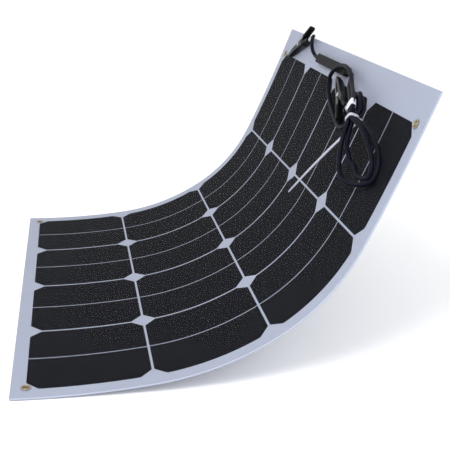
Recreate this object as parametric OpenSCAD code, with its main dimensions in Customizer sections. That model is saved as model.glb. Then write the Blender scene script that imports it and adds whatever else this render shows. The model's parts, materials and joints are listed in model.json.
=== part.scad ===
// Flexible solar sheet: a thin laminate with sixteen cut-corner cells in four
// columns, brass grommets, a slim junction box on one end and two clip leads.
// Millimetres, +Z up. The origin is the near grommet of the free end, on the
// back face. X runs along the sheet, Y across it. The sheet is laid up as four
// bending columns; each one is a plain arc and the gaps between them are flat.

/* [Cells] */
// Edge length of one square cell, mm
cell = 125; // [110:1:140]
// Leg of the cut corner of a cell, mm
cut_leg = 12.4; // [9:0.1:14]
// Gap between neighbouring cells, mm
gap = 2.5; // [2:0.1:4]
// Width of the line that halves each cell, mm
half_line = 1.5; // [0.6:0.1:2]

/* [Sheet] */
// Bend of the first column at the free end, degrees
bend_1 = 8; // [4:0.5:12]
// Bend of the second column, degrees
bend_2 = 25; // [15:0.5:32]
// Bend of the third column, degrees
bend_3 = 33; // [20:0.5:38]
// Bend of the last column at the box end, degrees
bend_4 = 4; // [2:0.5:8]
// Margin beyond the cells at the free end, mm
free_margin = 15; // [13:0.5:20]
// Margin beyond the cells at the box end, mm
box_margin = 37.5; // [36:0.5:50]
// Margin beyond the cells on the long sides, mm
side_margin = 16.25; // [14:0.25:20]

/* [Grommets] */
// Bore radius of a grommet, mm
bore_r = 2.75; // [2.5:0.05:3]
// Outer radius of the grommet flange, mm
flange_r = 5; // [4.5:0.1:5.5]

/* [Junction box] */
// Length of the box across the sheet, mm
box_l = 118; // [110:1:124]
// Width of the box, mm
box_w = 12; // [11.5:0.1:12.5]
// Height of the box over the sheet, mm
box_h = 8; // [7.5:0.1:9]

/* [Leads] */
// Radius of the lead's jacket, mm
lead_r = 2.5; // [2.2:0.05:2.6]
// Outer radius of the crimp sleeve at a clip, mm
crimp_r = 3.1; // [2.9:0.05:3.3]

/* [Clips] */
// Length of the jaws ahead of the pivot, mm
jaw_l = 36; // [32:1:38]
// Length of the handles behind the pivot, mm
handle_l = 34; // [30:1:36]
// Width of the outer jaw, mm
jaw_w = 9; // [8.6:0.1:9.4]

/* [Hidden] */

// layer heights over the back face
h_back = 1.2;
h_tab = 1.5;
h_cell = 1.6;
h_cell_top = 1.8;
h_rear = 1.8;
h_front = 2.2;
h_top = 2.5;
h_mid = h_top / 2;
h_ribbon = 1.3;

// layout across and along the sheet
cells_across = 4;
pitch = cell + gap;
y_first = -gap;
y_near = y_first - side_margin;
y_far = y_first + cells_across * pitch - gap + side_margin;
half_w = (cell - half_line) / 2;
hole_ys = [0, y_first + cells_across * pitch - 2 * gap];
barrel_r = bore_r + 0.5;
bends = [bend_1, bend_2, bend_3, bend_4];
arc_fn = 360;
round_fn = 48;

// copper tabs and ribbons
tab_reach = 5;
tab_w = 3;
tab_off = 16;
pocket_up = 0.1;
ribbon_w = 5;
ribbon_in = 3;
out_in = 12;

// neutral-line geometry: start and end angle, radius, start, end and centre
function a1(i) = bends[i] + (i == 0 ? 0 : a1(i - 1));
function a0(i) = a1(i) - bends[i];
function rn(i) = cell * 180 / (PI * bends[i]);
function sx(i) = i == 0 ? 0 : ex(i - 1) + gap * cos(a0(i));
function sz(i) = i == 0 ? h_mid : ez(i - 1) + gap * sin(a0(i));
function ex(i) = sx(i) + rn(i) * (sin(a1(i)) - sin(a0(i)));
function ez(i) = sz(i) - rn(i) * (cos(a1(i)) - cos(a0(i)));
function cx(i) = sx(i) - rn(i) * sin(a0(i));
function cz(i) = sz(i) + rn(i) * cos(a0(i));
function half_y(j) = y_first + floor(j / 2) * pitch + (j % 2) * (half_w + half_line);
function half_mid(j) = half_y(j) + half_w / 2;

// frame at the start of column i: X along the sheet, Z off its back face
module at_start(i) {
  translate([sx(i), 0, sz(i)]) rotate([0, -a0(i), 0]) translate([0, 0, -h_mid]) children();
}

// frame at the end of column i
module at_end(i) {
  translate([ex(i), 0, ez(i)]) rotate([0, -a1(i), 0]) translate([0, 0, -h_mid]) children();
}

// part of column i's arc between heights h0 and h1 and between y0 and y1
module arc(i, h0, h1, y0, y1) {
  r0 = rn(i) + h_mid - h1;
  translate([cx(i), 0, cz(i)])
    rotate([90, 0, 0])
      rotate([0, 0, a0(i) - 90])
        rotate_extrude(angle = bends[i], $fn = arc_fn)
          translate([r0, -y1])
            square([h1 - h0, y1 - y0]);
}

// upright block given by its two corners
module block(x0, x1, y0, y1, z0, z1) {
  translate([x0, y0, z0]) cube([x1 - x0, y1 - y0, z1 - z0]);
}

// whole layer of column i, with the flat margins of the two ends
module layer(i, h0, h1) {
  difference() {
    union() {
      arc(i, h0, h1, y_near, y_far);
      if (i == 0) at_start(0) block(-free_margin, 0, y_near, y_far, h0, h1);
      if (i == 3) at_end(3) block(0, box_margin, y_near, y_far, h0, h1);
    }
    if (i == 0) at_start(0) hole_pair(h0, h1);
    if (i == 3) at_end(3) hole_pair(h0, h1);
  }
}

// two grommet holes through a layer
module hole_pair(h0, h1) {
  for (y = hole_ys) translate([0, y, h0 - 1]) cylinder(r = barrel_r, h = h1 - h0 + 2, $fn = round_fn);
}

// prism that cuts one corner off a cell; sx_ and sy_ give the corner's quadrant
module corner_prism(sx_, sy_) {
  scale_pts = [[-1, -1], [cut_leg + 1, -1], [-1, cut_leg + 1]];
  translate([0, 0, -1]) linear_extrude(5) polygon([for (p = scale_pts) [p[0] * sx_, p[1] * sy_]]);
}

// the eight half cells of column i between heights h0 and h1
module halves(i, h0, h1) {
  difference() {
    for (j = [0:7]) arc(i, h0, h1, half_y(j), half_y(j) + half_w);
    for (k = [0:3]) {
      at_start(i) translate([0, y_first + k * pitch, 0]) corner_prism(1, 1);
      at_start(i) translate([0, y_first + k * pitch + cell, 0]) corner_prism(1, -1);
      at_end(i) translate([0, y_first + k * pitch, 0]) corner_prism(-1, 1);
      at_end(i) translate([0, y_first + k * pitch + cell, 0]) corner_prism(-1, -1);
    }
  }
}

// the sixteen copper tabs that cross gap i; up makes their pockets deeper
module tabs(i, up = 0) {
  at_end(i)
    for (j = [0:7])
      for (s = [-1, 1])
        block(-tab_reach, gap + tab_reach, half_mid(j) + s * tab_off - tab_w / 2,
          half_mid(j) + s * tab_off + tab_w / 2, h_tab, h_cell + up);
}

// one ribbon along Y with its tabs under the half cells ja and jb
module ribbon(x0, dir, ja, jb, up) {
  y0 = half_mid(ja) - tab_off - tab_w / 2;
  y1 = half_mid(jb) + tab_off + tab_w / 2;
  union() {
    block(dir > 0 ? x0 : x0 - ribbon_w, dir > 0 ? x0 + ribbon_w : x0, y0, y1, h_ribbon, h_cell);
    for (j = [ja, jb])
      for (s = [-1, 1])
        ribbon_tab(x0, dir, half_mid(j) + s * tab_off, up);
  }
}

// tab from a ribbon edge x0 to under the cell edge at x = 0
module ribbon_tab(x0, dir, y, up) {
  lo = dir > 0 ? -tab_reach : x0 - 1;
  hi = dir > 0 ? x0 + 1 : tab_reach;
  block(lo, hi, y - tab_w / 2, y + tab_w / 2, h_tab, h_cell + up);
}

// ribbons of the free end: four loops that join neighbouring half-cell rows
module ribbons_free(up = 0) {
  at_start(0) for (k = [0:3]) ribbon(-ribbon_in, -1, 2 * k, 2 * k + 1, up);
}

// ribbons of the box end: three loops and two outputs that rise into the box
module ribbons_box(up = 0) {
  at_end(3) {
    for (k = [0:2]) ribbon(ribbon_in, 1, 2 * k + 1, 2 * k + 2, up);
    output_ribbon(0, term_ys[0], up);
    output_ribbon(7, term_ys[1], up);
  }
}

// output ribbon from half-cell row j to the terminal at yt
module output_ribbon(j, yt, up) {
  ym = half_mid(j);
  y0 = min(ym - tab_off - tab_w / 2, yt - riser_w / 2);
  y1 = max(ym + tab_off + tab_w / 2, yt + riser_w / 2);
  union() {
    block(out_in, out_in + ribbon_w, y0, y1, h_ribbon, h_cell);
    for (s = [-1, 1]) ribbon_tab(out_in, 1, ym + s * tab_off, up);
    block(riser_x, riser_x + riser_t, yt - riser_w / 2, yt + riser_w / 2, h_tab, riser_top);
  }
}

// riser of an output ribbon, through the front layers and into the box
riser_w = 4;
riser_t = 0.4;
riser_x = out_in + 3.8;
riser_top = 5.2;
module riser_slots(h0, h1) {
  for (yt = term_ys)
    block(riser_x - 0.2, riser_x + riser_t + 0.2, yt - riser_w / 2 - 0.2, yt + riser_w / 2 + 0.2, h0, h1);
}

// junction box placement on the box-end margin
box_x = 10;
box_y = 215;
box_mid_x = box_x + box_w / 2;
pad_t = 0.8;
wall = 1.2;
lid_t = 1.6;
seal_t = 0.4;
box_top = h_top + box_h;
exit_h = 6.5;
term_ys = [box_y + 32, box_y + box_l - 32];
gland_r = 3.6;
gland_l = 8;

// outline of the box, w wide and l long, with round corners of radius r
module box_outline(w, l, r) {
  for (x = [r, w - r]) for (y = [r, l - r]) translate([x, y]) circle(r = r, $fn = round_fn);
  translate([r, 0]) square([w - 2 * r, l]);
  translate([0, r]) square([w, l - 2 * r]);
}

module pad_solid() {
  at_end(3) difference() {
    translate([box_x + 0.6, box_y + 0.6, h_top])
      linear_extrude(pad_t) box_outline(box_w - 1.2, box_l - 1.2, 1.4);
    riser_slots(h_top - 1, h_top + pad_t + 1);
  }
}

module base_solid() {
  z0 = h_top + pad_t;
  z1 = box_top - lid_t - seal_t;
  at_end(3) difference() {
    translate([box_x, box_y, z0]) linear_extrude(z1 - z0) box_outline(box_w, box_l, 2);
    translate([box_x + wall, box_y + 3, z0 + 0.8])
      linear_extrude(z1) box_outline(box_w - 2 * wall, box_l - 6, 1);
    riser_slots(z0 - 1, z0 + 2);
    for (y = [box_y - 1, box_y + box_l + 1])
      translate([box_mid_x, y, exit_h]) rotate([90, 0, 0])
        cylinder(r = lead_r + 0.3, h = 12, center = true, $fn = round_fn);
  }
}

module seal_solid() {
  z1 = box_top - lid_t - seal_t;
  at_end(3) difference() {
    translate([box_x + 0.2, box_y + 0.2, z1]) linear_extrude(seal_t) box_outline(box_w - 0.4, box_l - 0.4, 1.8);
    translate([box_x + wall - 0.2, box_y + 2.8, z1 - 1])
      linear_extrude(3) box_outline(box_w - 2 * wall + 0.4, box_l - 5.6, 1);
  }
}

module lid_solid() {
  z2 = box_top - lid_t;
  at_end(3) union() {
    translate([box_x, box_y, z2]) linear_extrude(lid_t - 0.5) box_outline(box_w, box_l, 2);
    translate([box_x + 0.6, box_y + 0.6, z2 + lid_t - 0.5]) linear_extrude(0.5) box_outline(box_w - 1.2, box_l - 1.2, 1.4);
    difference() {
      translate([box_x + wall + 0.3, box_y + 3.3, z2 - 1])
        linear_extrude(1.2) box_outline(box_w - 2 * wall - 0.6, box_l - 6.6, 0.8);
      translate([box_x + wall + 1.1, box_y + 4.1, z2 - 2])
        linear_extrude(2) box_outline(box_w - 2 * wall - 2.2, box_l - 8.2, 0.5);
    }
  }
}

module terminals_solid() {
  z0 = h_top + pad_t + 0.8;
  at_end(3) for (yt = term_ys) difference() {
    block(box_x + 2.4, box_x + box_w - 2.4, yt - 5, yt + 5, z0, z0 + 2.6);
    block(riser_x - 0.1, riser_x + riser_t + 0.1, yt - riser_w / 2 - 0.1, yt + riser_w / 2 + 0.1, z0 - 1, z0 + 4);
  }
}

module diode_solid() {
  z0 = h_top + pad_t + 0.8;
  ym = (term_ys[0] + term_ys[1]) / 2;
  at_end(3) union() {
    translate([box_mid_x, ym, z0 + 1.6]) rotate([90, 0, 0]) cylinder(r = 1.5, h = 12, center = true, $fn = round_fn);
    translate([box_mid_x, ym, z0 + 1.6]) rotate([90, 0, 0])
      cylinder(r = 0.4, h = term_ys[1] - term_ys[0] - 10, center = true, $fn = round_fn);
  }
}

// cable gland on the box end at y, pointing along dir
module gland_solid(y, dir) {
  at_end(3) translate([box_mid_x, y, exit_h]) rotate([-90 * dir, 0, 0]) rotate_extrude($fn = round_fn)
    polygon([[lead_r, 0], [gland_r, 0], [gland_r, 3], [gland_r - 0.4, 3.4], [gland_r - 0.4, gland_l - 0.6],
      [gland_r - 0.8, gland_l], [lead_r, gland_l]]);
}

// grommet, turned: flange in front, barrel, and the roll behind the washer
module grommet_solid() {
  rotate_extrude($fn = round_fn)
    polygon([[bore_r, -0.9], [bore_r, 3.1], [flange_r - 0.5, 3.1], [flange_r, 2.8], [flange_r, 2.55],
      [barrel_r, 2.55], [barrel_r, -0.6], [barrel_r + 0.8, -0.6], [barrel_r + 0.8, -0.8], [barrel_r + 0.6, -0.9]]);
}

module washer_solid() {
  rotate_extrude($fn = round_fn)
    polygon([[barrel_r, -0.6], [barrel_r, 0], [flange_r, 0], [flange_r, -0.4], [flange_r - 0.2, -0.6]]);
}

// smooth open line through route points, n steps a span
function spline_at(p, i, t) = let (
  last = len(p) - 1,
  a = p[max(i - 1, 0)], b = p[i], c = p[min(i + 1, last)], d = p[min(i + 2, last)])
  0.5 * (2 * b + (c - a) * t + (2 * a - 5 * b + 4 * c - d) * t * t + (3 * b - a - 3 * c + d) * t * t * t);
function smooth(p, n) = [for (i = [0:len(p) - 2]) for (k = [0:n - 1]) spline_at(p, i, k / n), p[len(p) - 1]];
function unit(v) = v / norm(v);
function heading(p, i) = unit(p[min(i + 1, len(p) - 1)] - p[max(i - 1, 0)]);
function ring_side(d) = unit(cross([0, 0, 1], d));
function ring_pts(c, d, r, n) = let (s = ring_side(d), u = cross(d, s))
  [for (k = [0:n - 1]) c + r * cos(360 * k / n) * s + r * sin(360 * k / n) * u];

// round tube swept along the line p
module tube(p, r) {
  n = 10;
  m = len(p);
  pts = [for (i = [0:m - 1]) for (q = ring_pts(p[i], heading(p, i), r, n)) q];
  sides = [for (i = [0:m - 2]) for (k = [0:n - 1])
    [i * n + k, (i + 1) * n + k, (i + 1) * n + (k + 1) % n, i * n + (k + 1) % n]];
  polyhedron(pts, concat([[for (k = [0:n - 1]) k]], sides, [[for (k = [n - 1:-1:0]) (m - 1) * n + k]]), convexity = 6);
}

// lead routes in the frame of the box end: along the sheet, across it, height
short_route = [[16, 341, 6.5], [17, 350, 7.2], [22, 360, 10.5], [31, 369, 13], [38, 378, 11.5], [39.4, 386.6, 8.6], [34.8, 393.2, 8]];
out_route = [[16, 207, 6.5], [15.5, 198, 7], [10.5, 185, 10.5], [1.5, 167, 15], [-8, 137, 20], [-17, 115, 24.5],
  [-26.5, 101.1, 26.6]];
return_route = [[-22.5, 97.9, 26.6], [-12, 111, 24.5], [-2.8, 134, 20], [6.8, 164, 15], [15.5, 183, 13.5],
  [21, 203, 13.6], [20.5, 222, 13.6], [14, 238, 13.6], [4, 250, 12], [-7, 252, 8.5], [-17, 244, 6.5], [-26, 228, 6],
  [-34, 207, 6], [-40, 186, 6.5], [-43.5, 167, 7], [-41, 152, 7.5], [-32, 146, 8], [-25.5, 151, 8], [-22.6, 158, 8]];

module lead_solid(route, n) {
  at_end(3) tube(smooth(route, n), lead_r);
}

// tie point of the bundle, and the frame of the hank below it
tie_at = [-24.5, 99.5, 24];
hank_tilt = 10.2;
hank_turn = -128;
hank_route = [[3, -3.5], [18, -17], [39, -26], [61, -27], [81, -9], [90, 13], [76, 26], [51, 26], [22, 15], [3, 4]];
hank_half = 5.1;
hank_inner = 5.2;
// fold of the lead above the tie: across the bundle, along it, height over the tie
fold_route = [[2.6, 0, -2.6], [5, 6, -5], [9.8, 11, -5], [14.6, 17.7, -2.1], [13.6, 26, -1.8], [7.2, 31.1, -4.1],
  [-0.7, 30, -7.8], [-5.6, 23.3, -10.7], [-5.4, 16.7, -11.3], [-4, 8, -7], [-2.6, 0, -2.6]];

// normal of a line of flat points at point i, and the line moved sideways
function side_of(p, i) = let (d = unit(p[min(i + 1, len(p) - 1)] - p[max(i - 1, 0)])) [-d[1], d[0]];
function shifted(p, w, more = 0) = [for (i = [0:len(p) - 1])
  p[i] + (w + more * sin(180 * i / (len(p) - 1))) * side_of(p, i)];
function reversed(p) = [for (i = [len(p) - 1:-1:0]) p[i]];

// two turns of the lead as one flat ring of strands, and the fold between them
module hank_solid() {
  ring_solid();
  fold_solid();
}

module fold_solid() {
  at_end(3) translate(tie_at) rotate([0, 0, tie_turn]) tube(smooth(fold_route, 2), lead_r);
}

module ring_solid() {
  line = smooth(hank_route, 4);
  at_end(3) translate(tie_at) rotate([hank_tilt, 0, 0]) rotate([0, 0, hank_turn])
    translate([0, 0, -hank_half]) linear_extrude(2 * hank_half)
      polygon(concat(shifted(line, lead_r, hank_inner), reversed(shifted(line, -lead_r))));
}

// frame of the tie: X across the bundle, Z along it towards the box
tie_turn = -38;
module at_tie() {
  at_end(3) translate(tie_at) rotate([0, 0, tie_turn]) rotate([-90, 0, 0]) children();
}

tie_w = 3.6;
band_in = [10.8, 10.8];
band_t = 1.1;
module band_shape(w, h, r) {
  translate([-w / 2, -h / 2]) box_outline(w, h, r);
}

// cable tie: band, head and the long loose tail over the sheet
module tie_solid() {
  at_tie() {
    difference() {
      translate([0, 0, -tie_w / 2]) linear_extrude(tie_w) band_shape(band_in[0] + 2 * band_t, band_in[1] + 2 * band_t, 2.4);
      translate([0, 0, -tie_w]) linear_extrude(2 * tie_w) band_shape(band_in[0], band_in[1], 1.6);
    }
    block(-2.5, 2.5, 6.4, 11, -2.6, 2.6);
  }
  at_end(3) tail_solid();
}

// tail of the tie: a tapering strip from the head to its free tip
tail_a = [-27, 102, 14.8];
tail_b = [-139, 184, 24.4];
module tail_solid() {
  d = tail_b - tail_a;
  run = norm([d[0], d[1]]);
  translate(tail_a) rotate([0, 0, atan2(d[1], d[0])]) rotate([0, -atan2(d[2], run), 0])
    linear_extrude(1.2) polygon([[-2, -2.2], [norm(d) - 8, -1.4], [norm(d), -0.8], [norm(d), 0.8], [norm(d) - 8, 1.4], [-2, 2.2]]);
}

// white label folded round the two strands above the tie
label_at = [-13.2, 117, 23.7];
label_turn = -22;
label_rise = -9.5;
label_l = 13;
module label_solid() {
  at_end(3) translate(label_at) rotate([0, 0, label_turn]) rotate([-90 + label_rise, 0, 0]) difference() {
    translate([0, 0, -label_l / 2]) linear_extrude(label_l) band_shape(13.2, 8, 2.6);
    translate([0, 0, -label_l]) linear_extrude(2 * label_l) band_shape(12.4, 7.2, 2.2);
  }
}

// clips, in their own frame: X from the jaw tip to the handle end, Z opening
pin_r = 1.5;
metal_t = 0.8;
lap = 0.2;
inner_w = jaw_w - 2 * metal_t - 2 * lap;
boot_x = 13;
crimp_z = 9.6;

// one pressed half: web on the outside, two walls towards the middle
module half_body(w, pin_clear) {
  difference() {
    rotate([90, 0, 0]) linear_extrude(w, center = true)
      polygon([[-jaw_l, 0.3], [-jaw_l, 2.4], [-jaw_l + 8, 4.6], [0, 6.4], [handle_l, 11.6], [handle_l, 8.4],
        [5, 0.6], [4, -2.4], [-4, -2.4], [-5, 0.6], [-8, 2], [-jaw_l + 6, 2], [-jaw_l + 3, 0.3]]);
    rotate([90, 0, 0]) linear_extrude(w - 2 * metal_t, center = true)
      polygon([[-jaw_l + 1, -4], [-jaw_l + 1, 1.9], [-jaw_l + 8, 3.8], [0, 5.6], [handle_l + 1, 10.9],
        [handle_l + 1, -4]]);
    rotate([90, 0, 0]) cylinder(r = pin_r + pin_clear, h = w + 2, center = true, $fn = round_fn);
  }
}

module jaw_fixed() {
  mirror([0, 0, 1]) half_body(jaw_w, 0);
}

module jaw_moving() {
  half_body(inner_w, 0.1);
}

module clip_pin() {
  rotate([90, 0, 0]) union() {
    cylinder(r = pin_r, h = jaw_w, center = true, $fn = round_fn);
    for (s = [-1, 1]) translate([0, 0, s * (jaw_w / 2 + 0.3)]) cylinder(r = pin_r + 1, h = 0.6, center = true, $fn = round_fn);
  }
}

// torsion spring: close-wound coils round the pin and two short legs
spring_r = 2.35;
wire_r = 0.45;
module clip_spring() {
  union() {
    rotate([90, 0, 0])
      for (k = [-1.5, -0.5, 0.5, 1.5])
        translate([0, 0, k * 2 * wire_r * 0.98]) rotate_extrude($fn = round_fn)
          translate([spring_r, 0]) circle(r = wire_r, $fn = 16);
    rotate([90, 0, 0]) for (k = [-1, 0, 1])
      translate([0, 0, k * 2 * wire_r * 0.98]) rotate_extrude($fn = round_fn)
        translate([spring_r - 0.2, -0.35]) square([0.4, 0.7]);
    translate([0, 1.3, spring_r]) rotate([0, 84, 0]) cylinder(r = wire_r, h = 11, $fn = 16);
    translate([0, -1.3, -spring_r]) rotate([0, 98, 0]) cylinder(r = wire_r, h = 11, $fn = 16);
  }
}

// soft boot over one handle, w wide inside
module boot(w) {
  t = 0.8;
  x1 = handle_l + 0.8;
  difference() {
    rotate([90, 0, 0]) linear_extrude(w + 2 * t, center = true)
      polygon([[boot_x, 2.1], [boot_x, 9.5], [x1, 12.8], [x1, 7.7], [boot_x + 1, 2.1]]);
    rotate([90, 0, 0]) linear_extrude(w, center = true)
      polygon([[boot_x - 1, 1.6], [boot_x - 1, 8.25], [handle_l, 11.6], [handle_l, 8.4], [boot_x, 2.6], [boot_x - 1, 2.4]]);
  }
}

module clip_crimp() {
  translate([handle_l + 0.8, 0, -crimp_z - 0.4]) rotate([0, 90, 0]) difference() {
    cylinder(r = crimp_r, h = 7, $fn = round_fn);
    translate([0, 0, -1]) cylinder(r = lead_r, h = 9, $fn = round_fn);
  }
}

// place a clip on the sheet: clip 1 by the far lead, clip 2 by the bundle
clip_1_at = [21.2, 430, 8];
clip_1_turn = -55;
clip_2_at = [-12, 200, 8];
clip_2_turn = -117;
module at_clip_1() {
  at_end(3) translate(clip_1_at) rotate([0, 0, clip_1_turn]) rotate([-90, 0, 0]) children();
}
module at_clip_2() {
  at_end(3) translate(clip_2_at) rotate([0, 0, clip_2_turn]) rotate([90, 0, 0]) children();
}

// laminate nodes
white = [0.86, 0.88, 0.93];
clear = [0.75, 0.8, 0.9, 0.4];
black_cell = [0.05, 0.06, 0.07];
copper = [0.72, 0.45, 0.2];
brass = [0.78, 0.66, 0.35];
black = [0.06, 0.06, 0.08];
steel = [0.6, 0.62, 0.65];
jaw_black = [0.1, 0.1, 0.11];

module rear_layer(i) {
  color(white) difference() {
    layer(i, h_back, h_rear);
    halves(i, h_cell, h_rear + 0.2);
    if (i < 3) tabs(i, pocket_up);
    if (i > 0) tabs(i - 1, pocket_up);
    if (i == 0) ribbons_free(pocket_up);
    if (i == 3) ribbons_box(pocket_up);
  }
}

module front_layer(i, h0, h1) {
  difference() {
    layer(i, h0, h1);
    if (i == 3) at_end(3) riser_slots(h0 - 0.1, h1 + 0.1);
  }
}

// how far a strip stops short of the next column
far_play = 0.005;
module gap_strip(i) {
  color(white) difference() {
    at_end(i) block(0, gap - far_play, y_near, y_far, 0, h_top);
    tabs(i);
  }
}

module backsheet_1() { color(white) layer(0, 0, h_back); }
module backsheet_2() { color(white) layer(1, 0, h_back); }
module backsheet_3() { color(white) layer(2, 0, h_back); }
module backsheet_4() { color(white) layer(3, 0, h_back); }
module rear_encapsulant_1() { rear_layer(0); }
module rear_encapsulant_2() { rear_layer(1); }
module rear_encapsulant_3() { rear_layer(2); }
module rear_encapsulant_4() { rear_layer(3); }
module half_cells_1() { color(black_cell) halves(0, h_cell, h_cell_top); }
module half_cells_2() { color(black_cell) halves(1, h_cell, h_cell_top); }
module half_cells_3() { color(black_cell) halves(2, h_cell, h_cell_top); }
module half_cells_4() { color(black_cell) halves(3, h_cell, h_cell_top); }
module front_encapsulant_1() { color(clear) front_layer(0, h_rear, h_front); }
module front_encapsulant_2() { color(clear) front_layer(1, h_rear, h_front); }
module front_encapsulant_3() { color(clear) front_layer(2, h_rear, h_front); }
module front_encapsulant_4() { color(clear) front_layer(3, h_rear, h_front); }
module front_film_1() { color(clear) front_layer(0, h_front, h_top); }
module front_film_2() { color(clear) front_layer(1, h_front, h_top); }
module front_film_3() { color(clear) front_layer(2, h_front, h_top); }
module front_film_4() { color(clear) front_layer(3, h_front, h_top); }
module flex_gap_1() { gap_strip(0); }
module flex_gap_2() { gap_strip(1); }
module flex_gap_3() { gap_strip(2); }
module gap_tabs_1() { color(copper) tabs(0); }
module gap_tabs_2() { color(copper) tabs(1); }
module gap_tabs_3() { color(copper) tabs(2); }
module bus_ribbons_free_end() { color(copper) ribbons_free(); }
module bus_ribbons_box_end() { color(copper) ribbons_box(); }
module grommets_free_end() { color(brass) at_start(0) for (y = hole_ys) translate([0, y, 0]) grommet_solid(); }
module grommets_box_end() { color(brass) at_end(3) for (y = hole_ys) translate([0, y, 0]) grommet_solid(); }
module grommet_washers_free_end() { color(brass) at_start(0) for (y = hole_ys) translate([0, y, 0]) washer_solid(); }
module grommet_washers_box_end() { color(brass) at_end(3) for (y = hole_ys) translate([0, y, 0]) washer_solid(); }
module box_pad() { color(black) pad_solid(); }
module box_base() { color(black) base_solid(); }
module box_seal() { color(steel) seal_solid(); }
module box_lid() { color(black) lid_solid(); }
module box_terminals() { color(brass) terminals_solid(); }
module bypass_diode() { color(black) diode_solid(); }
module gland_near() { color(black) gland_solid(box_y, -1); }
module gland_far() { color(black) gland_solid(box_y + box_l, 1); }
module lead_short() { color(black) lead_solid(short_route, 2); }
module lead_out() { color(black) lead_solid(out_route, 2); }
module lead_hank() { color(black) hank_solid(); }
module lead_return() { color(black) lead_solid(return_route, 2); }
module zip_tie() { color(white) tie_solid(); }
module label_sleeve() { color(white) label_solid(); }
module clip_1_jaw_fixed() { color(jaw_black) at_clip_1() jaw_fixed(); }
module clip_1_jaw_moving() { color(jaw_black) at_clip_1() jaw_moving(); }
module clip_1_pin() { color(steel) at_clip_1() clip_pin(); }
module clip_1_spring() { color(steel) at_clip_1() clip_spring(); }
module clip_1_boot_fixed() { color(black) at_clip_1() mirror([0, 0, 1]) boot(jaw_w); }
module clip_1_boot_moving() { color(black) at_clip_1() boot(inner_w); }
module clip_1_crimp() { color(steel) at_clip_1() clip_crimp(); }
module clip_2_jaw_fixed() { color(jaw_black) at_clip_2() jaw_fixed(); }
module clip_2_jaw_moving() { color(jaw_black) at_clip_2() jaw_moving(); }
module clip_2_pin() { color(steel) at_clip_2() clip_pin(); }
module clip_2_spring() { color(steel) at_clip_2() clip_spring(); }
module clip_2_boot_fixed() { color(black) at_clip_2() mirror([0, 0, 1]) boot(jaw_w); }
module clip_2_boot_moving() { color(black) at_clip_2() boot(inner_w); }
module clip_2_crimp() { color(steel) at_clip_2() clip_crimp(); }

// draw the chosen node, or all of them
backsheet_1();
backsheet_2();
backsheet_3();
backsheet_4();
rear_encapsulant_1();
rear_encapsulant_2();
rear_encapsulant_3();
rear_encapsulant_4();
half_cells_1();
half_cells_2();
half_cells_3();
half_cells_4();
front_encapsulant_1();
front_encapsulant_2();
front_encapsulant_3();
front_encapsulant_4();
front_film_1();
front_film_2();
front_film_3();
front_film_4();
flex_gap_1();
flex_gap_2();
flex_gap_3();
gap_tabs_1();
gap_tabs_2();
gap_tabs_3();
bus_ribbons_free_end();
bus_ribbons_box_end();
grommets_free_end();
grommets_box_end();
grommet_washers_free_end();
grommet_washers_box_end();
box_pad();
box_base();
box_seal();
box_lid();
box_terminals();
bypass_diode();
gland_near();
gland_far();
lead_short();
lead_out();
lead_hank();
lead_return();
zip_tie();
label_sleeve();
clip_1_jaw_fixed();
clip_1_jaw_moving();
clip_1_pin();
clip_1_spring();
clip_1_boot_fixed();
clip_1_boot_moving();
clip_1_crimp();
clip_2_jaw_fixed();
clip_2_jaw_moving();
clip_2_pin();
clip_2_spring();
clip_2_boot_fixed();
clip_2_boot_moving();
clip_2_crimp();
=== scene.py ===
import json
import logging
import math
from dataclasses import dataclass
from enum import Enum

import bpy
import numpy as np
from mathutils import Matrix, Vector


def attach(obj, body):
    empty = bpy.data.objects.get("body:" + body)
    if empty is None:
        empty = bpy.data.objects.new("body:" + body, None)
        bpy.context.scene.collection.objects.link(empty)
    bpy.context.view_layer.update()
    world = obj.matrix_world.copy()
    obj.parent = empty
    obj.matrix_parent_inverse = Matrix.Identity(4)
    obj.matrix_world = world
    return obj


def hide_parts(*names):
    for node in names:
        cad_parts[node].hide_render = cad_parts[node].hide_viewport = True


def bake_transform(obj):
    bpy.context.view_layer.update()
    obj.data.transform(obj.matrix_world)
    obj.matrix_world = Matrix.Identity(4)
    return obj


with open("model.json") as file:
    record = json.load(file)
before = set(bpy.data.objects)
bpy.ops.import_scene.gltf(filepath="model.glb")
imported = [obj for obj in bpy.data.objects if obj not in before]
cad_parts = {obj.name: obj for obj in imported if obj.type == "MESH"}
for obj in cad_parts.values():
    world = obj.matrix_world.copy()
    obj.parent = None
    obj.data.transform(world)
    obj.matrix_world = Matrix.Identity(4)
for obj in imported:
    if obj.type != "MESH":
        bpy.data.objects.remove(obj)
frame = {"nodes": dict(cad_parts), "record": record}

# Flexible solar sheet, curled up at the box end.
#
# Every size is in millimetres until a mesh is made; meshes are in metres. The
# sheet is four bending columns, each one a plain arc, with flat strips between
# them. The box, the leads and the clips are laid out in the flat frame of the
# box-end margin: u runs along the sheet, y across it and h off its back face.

LOG = logging.getLogger("solar_sheet")
MM = 0.001
SHARP_DEG = 32.0  # edges that turn more than this stay sharp
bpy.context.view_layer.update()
RECORD = frame["record"]


# ---------------------------------------------------------------- camera


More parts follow.
